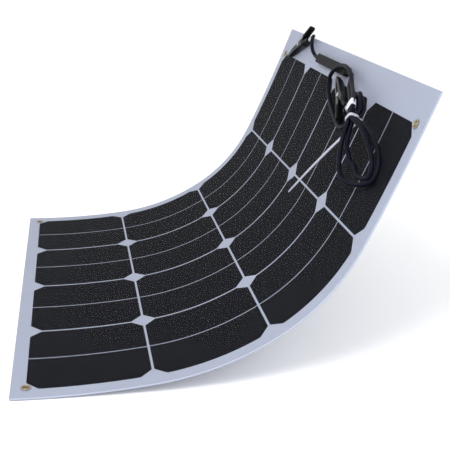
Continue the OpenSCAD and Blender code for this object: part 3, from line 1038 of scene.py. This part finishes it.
@dataclass
class Grommets:
    """Brass eyelets and their back washers."""

    bore: float = 2.75
    barrel: float = 3.25
    flange: float = 5.0
    steps: int = 72
    sharp_deg: float = 40.0

    def eyelet(self) -> Shell:
        """Rolled flange, straight barrel and the roll behind the washer.

        Returns:
            The turned ring.
        """
        bore, barrel = self.bore, self.barrel
        roll = [
            (bore + 0.9 - 0.9 * math.cos(a), 2.2 + 0.9 * math.sin(a))
            for a in np.linspace(0, 1.2, 6)
        ]
        lip = [
            (self.flange - 0.6 + 0.6 * math.sin(a), 2.56 + 0.5 * (0.5 + 0.5 * math.cos(a)))
            for a in np.linspace(0.2, 2.9, 7)
        ]
        shank = [(barrel, 2.54), (barrel, -0.6)]
        tail = [(barrel + 0.7, -0.62), (barrel + 0.6, -0.88), (bore + 0.2, -0.88)]
        return lathe([(bore, -0.6), *roll, *lip, *shank, *tail], self.steps)

    def washer(self) -> Shell:
        """Flat ring with a rounded rim.

        Returns:
            The turned ring.
        """
        rim, hole = self.flange, self.barrel
        outer = [(rim - 0.1, 0), (rim, -0.12), (rim, -0.42), (rim - 0.25, -0.6)]
        return lathe([(hole, 0), *outer, (hole, -0.6)], self.steps)

    def build(self) -> None:
        """Makes the rings of both ends."""
        for end, body, turn in (
            ("free_end", "column_1", Matrix.Identity(4)),
            ("box_end", "column_4", MARGIN.matrix()),
        ):
            places = [turn @ Matrix.Translation((0, y, 0)) for y in GROMMET_YS]
            for kind, shell in (("grommets", self.eyelet()), ("grommet_washers", self.washer())):
                pair = joined([shell.moved(place) for place in places])
                made = piece(f"brass_{kind}_{end}", pair, BRASS, self.sharp_deg)
                fit(made, body, "brass_eyelet", f"{kind}_{end}")


# ---------------------------------------------------------------- junction box


# Each profile is (inset, height) from the bottom to the top.
PAD_PROFILE = ((0, 2.5), (0, 3.3))
BASE_PROFILE = ((0.5, 3.3), (0.15, 3.5), (0.05, 4.0), (0, 8.3), (0.12, 8.5), (0.35, 8.55))
SEAM_PROFILE = ((0, 8.4), (0, 9.0))
LID_PROFILE = (
    (0.35, 8.85), (0.1, 8.9), (0, 9.05), (0, 9.6), (0.1, 9.95),
    (0.35, 10.25), (0.75, 10.42), (1.4, 10.47), (1.7, 10.4), (2.2, 10.38),
)


@dataclass
class JunctionBox:
    """Slim sealed box with a gland at each end."""

    u: float = 10.0
    y: float = 215.0
    width: float = 12.0
    length: float = 118.0
    corner: float = 2.0
    pad_inset: float = 0.6
    seam_inset: float = 0.4
    exit_h: float = 6.5
    gland_ribs: int = 12
    rib_height: float = 0.15
    gland_steps: int = 96

    def at(self, y: float, height: float = 0.0) -> Matrix:
        """Frame over the middle of the box's width.

        Args:
            y: distance across the sheet.
            height: height over the back face.

        Returns:
            The matrix to the shared frame.
        """
        return MARGIN.matrix() @ Matrix.Translation((self.u + self.width / 2, y, height))

    def gland(self) -> Shell:
        """Turned gland with grip ribs, its axis along Z.

        The grip's radius is 3.35 + rib_height cos(gland_ribs angle).

        Returns:
            The closed ring.
        """
        z = np.array([0, 0, 1.2, 1.5, 1.9, 5.6, 6.0, 7.0, 7.7, 8.0, 8.0])
        r = np.array([2.5, 3.6, 3.6, 3.3, 3.35, 3.35, 3.1, 3.0, 2.8, 2.6, 2.5])
        ribbed = np.array([0, 0, 0, 0, 1, 1, 0, 0, 0, 0, 0])
        angle = np.linspace(0, 2 * math.pi, self.gland_steps, endpoint=False)
        radius = r[:, None] + self.rib_height * ribbed[:, None] * np.cos(self.gland_ribs * angle)
        height = np.repeat(z[:, None], self.gland_steps, 1)
        grid = np.stack([radius * np.cos(angle), radius * np.sin(angle), height], 2)
        return Shell.of_grid(grid, wrap_rows=True)

    def build(self) -> None:
        """Makes the pad, base, seal, lid and glands, and dresses the inside."""
        middle = self.at(self.y + self.length / 2)
        for name, profile, inset, radius, finish, slot, node in (
            ("box_foam_pad", PAD_PROFILE, self.pad_inset, 1.4, FOAM_BLACK, "black_foam", "box_pad"),
            ("box_body", BASE_PROFILE, 0, self.corner, BOX_BLACK, "black_plastic", "box_base"),
            ("box_seal_line", SEAM_PROFILE, self.seam_inset, 1.6, FOAM_BLACK, "black_foam", "box_seal"),
            ("box_cover", LID_PROFILE, 0, self.corner, BOX_BLACK, "black_plastic", "box_lid"),
        ):
            size = (self.width - 2 * inset, self.length - 2 * inset)
            placed = rounded_block(*size, radius, profile).moved(middle)
            fit(piece(name, placed, finish), "column_4", slot, node)
        for name, end, turn in (
            ("gland_near", self.y, 90.0),
            ("gland_far", self.y + self.length, -90.0),
        ):
            shell = self.gland().moved(self.at(end, self.exit_h) @ turned("X", turn))
            fit(piece(f"box_{name}", shell, BOX_BLACK), "column_4", "black_plastic", name)
        for node, finish in (("box_terminals", BRASS), ("bypass_diode", BOX_BLACK)):
            dress(node, finish)


def dress(node: str, finish: Finish) -> None:
    """Gives a finish to a CAD node that stays in the scene.

    Args:
        node: the node's name.
        finish: the finish.
    """
    slots = frame["nodes"][node].material_slots
    if not slots:
        frame["nodes"][node].data.materials.append(finish.build())
    for slot in slots:
        slot.material = finish.build()
    LOG.info("%s keeps its own shape", node)


# ---------------------------------------------------------------- tie and label


HEAD_PROFILE = ((0.4, -2.6), (0.1, -2.4), (0, -2.0), (0, 2.0), (0.1, 2.4), (0.4, 2.6))


@dataclass
class Fastening:
    """Cable tie with its head and long tail, and the label above it."""

    leads: Leads
    band: float = 5.95
    thick: float = 1.1
    wide: float = 3.6
    head_drop: float = 8.7
    tail_a: tuple[float, float, float] = (-27.0, 102.0, 15.4)
    tail_b: tuple[float, float, float] = (-139.0, 184.0, 25.0)
    label_at: tuple[float, float, float] = (-13.2, 117.0, 23.7)
    label_turn: float = -22.0
    label_rise: float = -9.5
    label_half: tuple[float, float] = (5.95, 3.15)
    label_thick: float = 0.35
    label_wide: float = 13.0
    tail_bow: float = 1.6

    def loop(
        self, half_x: float, half_y: float, thick: float, wide: float, power: float
    ) -> Shell:
        """Band round a bundle: a flat profile carried round |x|^p + |y|^p = 1.

        Args:
            half_x: half width of its middle line.
            half_y: half height of its middle line.
            thick: thickness.
            wide: width along the bundle.
            power: how square the loop is.

        Returns:
            The closed band, its axis along Z.
        """
        angle = np.linspace(0, 2 * math.pi, 96, endpoint=False)
        c, s = np.cos(angle), np.sin(angle)
        x = half_x * np.sign(c) * np.abs(c) ** (2 / power)
        y = half_y * np.sign(s) * np.abs(s) ** (2 / power)
        line = np.stack([x, y], 1)
        ahead = np.roll(line, -1, 0) - np.roll(line, 1, 0)
        out = np.stack([ahead[:, 1], -ahead[:, 0]], 1)
        out /= np.linalg.norm(out, axis=1, keepdims=True)
        t, w, e = thick / 2, wide / 2, min(0.25, thick / 4)
        across = np.array([-t, -t + e, t - e, t, t, t - e, -t + e, -t])
        along = np.array([w - e, w, w, w - e, -w + e, -w, -w, -w + e])
        flat = line[:, None, :] + across[None, :, None] * out[:, None, :]
        rise = np.broadcast_to(along[None, :, None], (*flat.shape[:2], 1))
        return Shell.of_grid(np.concatenate([flat, rise], 2), wrap_rows=True)

    def tail(self) -> Shell:
        """Tapering strip from the bundle to the free tip, bowed by a half sine wave.

        Returns:
            The closed strip, in (u, y, h) of the margin.
        """
        a, b = np.array(self.tail_a), np.array(self.tail_b)
        t = np.linspace(0, 1, 48)[:, None]
        line = a + (b - a) * t
        line[:, 2] += self.tail_bow * np.sin(math.pi * t[:, 0])
        heading = (b - a) / np.linalg.norm(b - a)
        side = np.cross([0, 0, 1], heading)
        side /= np.linalg.norm(side)
        up = np.cross(heading, side)
        half = np.interp(t[:, 0], [0, 0.9, 0.97, 1], [2.1, 1.5, 1.2, 0.6])[:, None, None]
        ring = np.array([
            (-1, -0.4), (-0.9, -0.5), (0.9, -0.5), (1, -0.4),
            (1, 0.4), (0.9, 0.5), (-0.9, 0.5), (-1, 0.4),
        ])
        across, over = half * ring[None, :, :1] * side, self.thick * ring[None, :, 1:] * up
        grid = line[:, None, :] + across + over
        return Shell.of_grid(grid)

    def build(self) -> list[bpy.types.Object]:
        """Makes the tie as one piece and the label as another.

        Returns:
            The tie and the label.
        """
        tie = MARGIN.matrix() @ self.leads.tie_frame()
        lay = tie @ turned("X", -90)
        band = self.loop(self.band, self.band, self.thick, self.wide, 4).moved(lay)
        head = rounded_block(4.6, 5.0, 0.8, HEAD_PROFILE)
        head = head.moved(tie @ Matrix.Translation((0, 0, -self.head_drop)) @ turned("Y", 90))
        tail = self.tail().moved(MARGIN.matrix())
        strap = piece("cable_tie", joined([band, head, tail]), WHITE_NYLON)
        along = turned("Z", self.label_turn) @ turned("X", -90 + self.label_rise)
        spot = MARGIN.matrix() @ Matrix.Translation(self.label_at) @ along
        sleeve = self.loop(*self.label_half, self.label_thick, self.label_wide, 5).moved(spot)
        label = piece("lead_label", sleeve, LABEL_WHITE)
        return [
            fit(strap, "column_4", "white_plastic", "zip_tie"),
            fit(label, "column_4", "white_plastic", "label_sleeve"),
        ]


# ---------------------------------------------------------------- clips


class Half(Enum):
    """The two pressed halves of a clip: the side they lie on."""

    FIXED = -1
    MOVING = 1


@dataclass
class Clip:
    """Spring clip: X from the jaw tip to the handle end, Z the opening."""

    number: int
    at: tuple[float, float, float]
    turn: float
    flip: float
    jaw: float = 36.0
    handle: float = 34.0
    outer_w: float = 9.0
    inner_w: float = 7.0
    metal: float = 0.8
    edge_r: float = 1.0
    pin_r: float = 1.5
    tooth_from: float = -24.0
    tooth_h: float = 0.55
    rib_h: float = 0.25
    coil_r: float = 2.3
    wire_r: float = 0.42
    crimp_drop: float = 10.0

    def frame(self) -> Matrix:
        """Frame of the clip, at the middle of its pin.

        Returns:
            The matrix to the shared frame, in millimetres.
        """
        heading = turned("Z", self.turn) @ turned("X", self.flip)
        return MARGIN.matrix() @ Matrix.Translation(self.at) @ heading

    def pressed(self, half: Half) -> Shell:
        """Channel of bent sheet: a U section whose height and width change along X.

        The section runs down one wall, over the web and down the other; the
        inner face is the same line drawn in by the metal's thickness.

        Args:
            half: which half it is.

        Returns:
            The closed channel.
        """
        width = self.outer_w if half is Half.FIXED else self.inner_w
        even = np.linspace(-self.jaw, self.handle, 71)
        teeth = np.linspace(-self.jaw, self.tooth_from, 49)
        x = np.unique(np.concatenate([even, teeth, [-5, -4, 4, 5]]))
        top = np.interp(x, [-36, -28, 0, 34], [2.4, 4.6, 6.4, 11.6])
        low = np.interp(
            x,
            [-36, -33, -30, -8, -5, -4, 4, 5, 34],
            [0.3, 0.3, 2.0, 2.0, 0.6, -2.4, -2.4, 0.6, 8.4],
        )
        toothed = x < self.tooth_from
        tooth = self.tooth_h * np.abs((x * 0.62) % 2 - 1) * toothed
        low = np.minimum(np.where(toothed, 0.3 + tooth, low), top - 1.0)
        w = width / 2 * np.interp(x, [-36, -14, 34], [0.72, 1, 1])
        m, c = self.metal, self.edge_r
        outer_y = [-w, -w, -w + 0.3 * c, -w + c, w - c, w - 0.3 * c, w, w]
        outer_z = [low, top - c, top - 0.3 * c, top, top, top - 0.3 * c, top - c, low]
        inner_y = [w - m, w - m, w - m - 0.2, -w + m + 0.2, -w + m, -w + m]
        inner_z = [low, top - m - 0.4, top - m, top - m, top - m - 0.4, low]
        y = np.stack(outer_y + inner_y, 1)
        z = np.stack(outer_z + inner_z, 1) * half.value
        return Shell.of_grid(np.stack([np.broadcast_to(x[:, None], y.shape), y, z], 2))

    def boot(self, half: Half) -> Shell:
        """Moulded boot: squarish sections along the handle with grip ribs.

        Each section is |y/a|^p + |z/b|^p = 1 with p = 4 about the handle's
        middle line, and the ribs are steps of rib_h.

        Args:
            half: which half it is.

        Returns:
            The closed boot.
        """
        width = (self.outer_w if half is Half.FIXED else self.inner_w) + 2 * self.metal
        x = np.concatenate([[13.0, 13.1, 13.6], np.linspace(14.5, 33.6, 60), [34.2, 34.6, 34.8]])
        low = np.interp(x, [13, 14, 34.8], [3.0, 2.9, 8.0])
        top = np.interp(x, [13, 34.8], [9.2, 12.6])
        close = np.interp(
            x,
            [13, 13.1, 13.6, 33.6, 34.2, 34.6, 34.8],
            [0.86, 0.93, 1, 1, 0.95, 0.85, 0.7],
        )
        rib = np.where((x > 16) & (x < 26), self.rib_h * (np.sin(x * 2.6) > 0), 0)
        a = (width / 2) * close - rib
        b = (top - low) / 2 * close - rib
        angle = np.linspace(0, 2 * math.pi, 40, endpoint=False)
        c, s = np.cos(angle), np.sin(angle)
        y = a[:, None] * np.sign(c) * np.abs(c) ** 0.5
        z = ((top + low) / 2)[:, None] + b[:, None] * np.sign(s) * np.abs(s) ** 0.5
        grid = np.stack([np.broadcast_to(x[:, None], y.shape), y, z * half.value], 2)
        return Shell.of_grid(grid)

    def rivet(self) -> Shell:
        """Shaft with two domed heads, turned, along the Y axis.

        Returns:
            The closed rivet.
        """
        w, r = self.outer_w / 2, self.pin_r
        dome = [(0.05, w + 0.58), (1.2, w + 0.5), (2.1, w + 0.3), (2.5, w + 0.02)]
        profile = dome + [(r, w), (r, -w)] + [(q, -z) for q, z in reversed(dome)]
        return lathe(profile, 40, closed=False).moved(turned("X", 90))

    def spring(self) -> Shell:
        """Helix of round wire with a straight leg at each end.

        The coil is r (cos a, sin a) about the pin, three and a half turns over
        a length of 1.6 r. Each leg runs 11 mm along its handle.

        Returns:
            The closed wire.
        """
        a, r = np.linspace(0.5 * math.pi, 7.5 * math.pi, 150), self.coil_r
        lift = 2.3 - 4.6 * (a - a[0]) / (a[-1] - a[0])
        coil = np.stack([r * np.cos(a), lift * 0.8, r * np.sin(a)], 1)
        out, rise = np.linspace(1.5, 11, 8), np.linspace(0.05, 1.0, 8)
        lead_in = np.stack([out, np.full(8, coil[0, 1]), r + rise], 1)[::-1]
        lead_out = np.stack([out, np.full(8, coil[-1, 1]), -r - rise], 1)
        return tube(np.vstack([lead_in, coil, lead_out]), self.wire_r, 10, (0, 1, 0.001))

    def crimp(self) -> Shell:
        """Barrel pressed flat in two places, its axis along X.

        The radius is 3.1 less 0.35 in each pressed band.

        Returns:
            The closed sleeve.
        """
        z = np.linspace(0, 7, 29)
        dent = 0.35 * (np.exp(-(((z - 2.2) / 0.55) ** 2)) + np.exp(-(((z - 4.8) / 0.55) ** 2)))
        outer = [(3.1 - d, q) for d, q in zip(dent, z)]
        ring = lathe([(2.52, 0), *outer, (2.52, 7)], 48)
        start = Matrix.Translation((self.handle + self.metal, 0, -self.crimp_drop))
        return ring.moved(start @ turned("Y", 90))

    def build(self) -> list[bpy.types.Object]:
        """Makes the clip's seven pieces.

        Returns:
            The pieces.
        """
        spot, n = self.frame(), self.number
        plan = (
            ("jaw_fixed", self.pressed(Half.FIXED), JAW_BLACK, "clip_jaw_black", "column_4"),
            ("jaw_moving", self.pressed(Half.MOVING), JAW_BLACK, "clip_jaw_black", f"clip_{n}_lever"),
            ("boot_fixed", self.boot(Half.FIXED), BOOT_BLACK, "black_boot", "column_4"),
            ("boot_moving", self.boot(Half.MOVING), BOOT_BLACK, "black_boot", f"clip_{n}_lever"),
            ("pin", self.rivet(), STEEL, "clip_steel", "column_4"),
            ("spring", self.spring(), STEEL, "clip_steel", "column_4"),
            ("crimp", self.crimp(), TINNED, "tinned_crimp", "column_4"),
        )
        return [
            fit(piece(f"clip{n}_{part}_shape", shell.moved(spot), finish), body, slot, f"clip_{n}_{part}")
            for part, shell, finish, slot, body in plan
        ]


# ---------------------------------------------------------------- studio


@dataclass
class Studio:
    """Pale floor, soft lamps and an even sky."""

    floor_side_mm: float = 20000.0
    floor_z: float = -0.0012
    sky: float = 1.05

    def lamp(
        self,
        name: str,
        place: tuple[float, float, float],
        aim: tuple[float, float, float],
        size: float,
        watts: float,
    ) -> None:
        """One square soft lamp.

        Args:
            name: the lamp's name.
            place: where it stands.
            aim: the point it faces.
            size: the side of its square.
            watts: its power.
        """
        data = bpy.data.lights.new(name, "AREA")
        data.size, data.energy = size, watts
        made = bpy.data.objects.new(name, data)
        bpy.context.scene.collection.objects.link(made)
        made.location = place
        made.rotation_euler = (Vector(aim) - Vector(place)).to_track_quat("-Z", "Y").to_euler()

    def build(self) -> None:
        """Makes the floor, the sky and the lamps."""
        side = self.floor_side_mm
        corners = np.array([(-side, -side, 0), (side, -side, 0), (side, side, 0), (-side, side, 0)])
        floor = piece("studio_floor", Shell(corners, [[0, 1, 2, 3]]), PALE_FLOOR)
        floor.data.transform(Matrix.Translation((0, 0, self.floor_z)))
        world = bpy.data.worlds.new("studio_sky")
        world.use_nodes = True
        back = world.node_tree.nodes["Background"]
        back.inputs["Color"].default_value = (1.0, 1.0, 1.0, 1.0)
        back.inputs["Strength"].default_value = self.sky
        bpy.context.scene.world = world
        self.lamp("key_lamp", (-0.7, -0.9, 1.5), (0.3, 0.2, 0.15), 0.6, 22.0)
        self.lamp("fill_lamp", (0.2, -2.2, 1.2), (0.2, 0.2, 0.1), 1.6, 12.0)
        bpy.context.scene.view_settings.view_transform = "Standard"


def main() -> None:
    """Builds every sub-assembly in order and reports each piece."""
    logging.basicConfig(level=logging.INFO, format="%(message)s")
    Viewpoint().build()
    leads = Leads()
    tied = Fastening(leads).build()
    first = Clip(number=1, at=(21.2, 430.0, 8.0), turn=-55.0, flip=-90.0).build()
    second = Clip(number=2, at=(-12.0, 200.0, 8.0), turn=-117.0, flip=90.0).build()
    leads.build({1: first, 2: second + tied})
    Laminate().build()
    Grommets().build()
    JunctionBox().build()
    for node in ("bus_ribbons_free_end", "bus_ribbons_box_end"):
        dress(node, COPPER)
    Studio().build()


if __name__ == "__main__":
    main()
